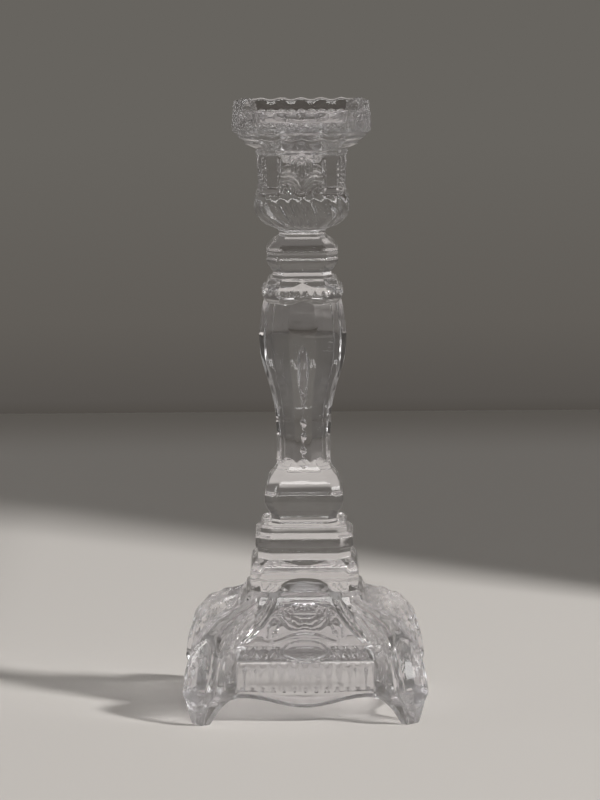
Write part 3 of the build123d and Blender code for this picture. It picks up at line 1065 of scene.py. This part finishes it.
def between(tree, coordinate, low, high, fade, at):
    """1 where the coordinate lies between low and high, falling to 0 over the fade outside them."""
    ends = []
    for k, (first, last) in enumerate(((low - fade, low), (high + fade, high))):
        end = add(tree, "ShaderNodeMapRange", (at[0], at[1] - 260 * k), {
            "From Min": first, "From Max": last,
        }, interpolation_type="SMOOTHSTEP")
        tree.links.new(coordinate, end.inputs["Value"])
        ends.append(end.outputs["Result"])
    return product(tree, *ends, (at[0] + 200, at[1]))


def lay(tree, under, colour, masks, at):
    """Lays a flat colour over what is there, where all the masks are 1."""
    factor = masks[0]
    for k, mask in enumerate(masks[1:]):
        factor = product(tree, factor, mask, (at[0], at[1] - 200 * k))
    mix = add(tree, "ShaderNodeMix", (at[0] + 200, at[1]), data_type="RGBA")
    mix.inputs["B"].default_value = colour
    tree.links.new(factor, mix.inputs["Factor"])
    tree.links.new(under, mix.inputs["A"])
    return mix.outputs["Result"]


def wall_with_painted_shade(tree, up):
    """The wall behind: dark and warm, with painted shade that darkens it near the floor."""
    height = add(tree, "ShaderNodeMapRange", (-500, 200), {"From Min": WALL_FOOT, "From Max": WALL_TOP})
    wall = add(tree, "ShaderNodeValToRGB", (-300, 200))
    tree.links.new(up, height.inputs["Value"])
    tree.links.new(height.outputs["Result"], wall.inputs["Fac"])
    stops = [(spot, linear(*tone)) for spot, tone in WALL_TONES_WITH_PAINTED_SHADE]
    elements = wall.color_ramp.elements
    elements[0].position, elements[0].color = stops[0]
    elements[1].position, elements[1].color = stops[-1]
    for spot, colour in stops[1:-1]:
        elements.new(spot).color = colour
    return wall.outputs["Color"]


def room():
    """The wall behind the stick, and panels over it that only show in the glass."""
    world = bpy.data.worlds.new("room")
    scene.world = world
    world.use_nodes = True
    tree = world.node_tree
    tree.nodes.clear()
    out = add(tree, "ShaderNodeOutputWorld", (900, 0))
    back = add(tree, "ShaderNodeBackground", (700, 0))
    place = add(tree, "ShaderNodeTexCoord", (-900, 0))
    split = add(tree, "ShaderNodeSeparateXYZ", (-700, 0))
    tree.links.new(place.outputs["Generated"], split.inputs[0])
    colour = wall_with_painted_shade(tree, split.outputs["Z"])
    for k, (tone, *ranges, fade) in enumerate(PANELS):
        masks = [between(tree, split.outputs[axis], *limits, fade, (300 * k, -900 - 700 * n))
                 for n, (axis, limits) in enumerate(zip("XYZ", ranges)) if limits != ALL]
        colour = lay(tree, colour, (*tone, 1), masks, (300 * k, 0))
    tree.links.new(colour, back.inputs["Color"])
    tree.links.new(back.outputs[0], out.inputs["Surface"])


# ---- camera -----------------------------------------------------------------------------------------
CAMERA_SPOT = (-0.00136, -2.226, 0.467)
CAMERA_LENS = 245.6               # mm, on a sensor 36 mm wide
CAMERA_PITCH, CAMERA_ROLL = math.radians(8.68), math.radians(0.41)


def camera():
    data = bpy.data.cameras.new("camera")
    data.sensor_width = 36.0
    data.lens = CAMERA_LENS
    data.clip_end = 50.0
    ob = bpy.data.objects.new("camera", data)
    ob.matrix_world = (Matrix.Translation(CAMERA_SPOT)
                       @ Matrix.Rotation(math.pi / 2 - CAMERA_PITCH, 4, "X")
                       @ Matrix.Rotation(-CAMERA_ROLL, 4, "Z"))
    scene.collection.objects.link(ob)
    scene.camera = ob


floor()
key_light()
flag()
room()
camera()
scene.view_settings.view_transform = "Standard"
scene.cycles.max_bounces = 28
scene.cycles.transmission_bounces = 28
scene.cycles.glossy_bounces = 12
scene.cycles.transparent_max_bounces = 64
scene.cycles.sample_clamp_indirect = 6.0
scene.cycles.use_denoising = True
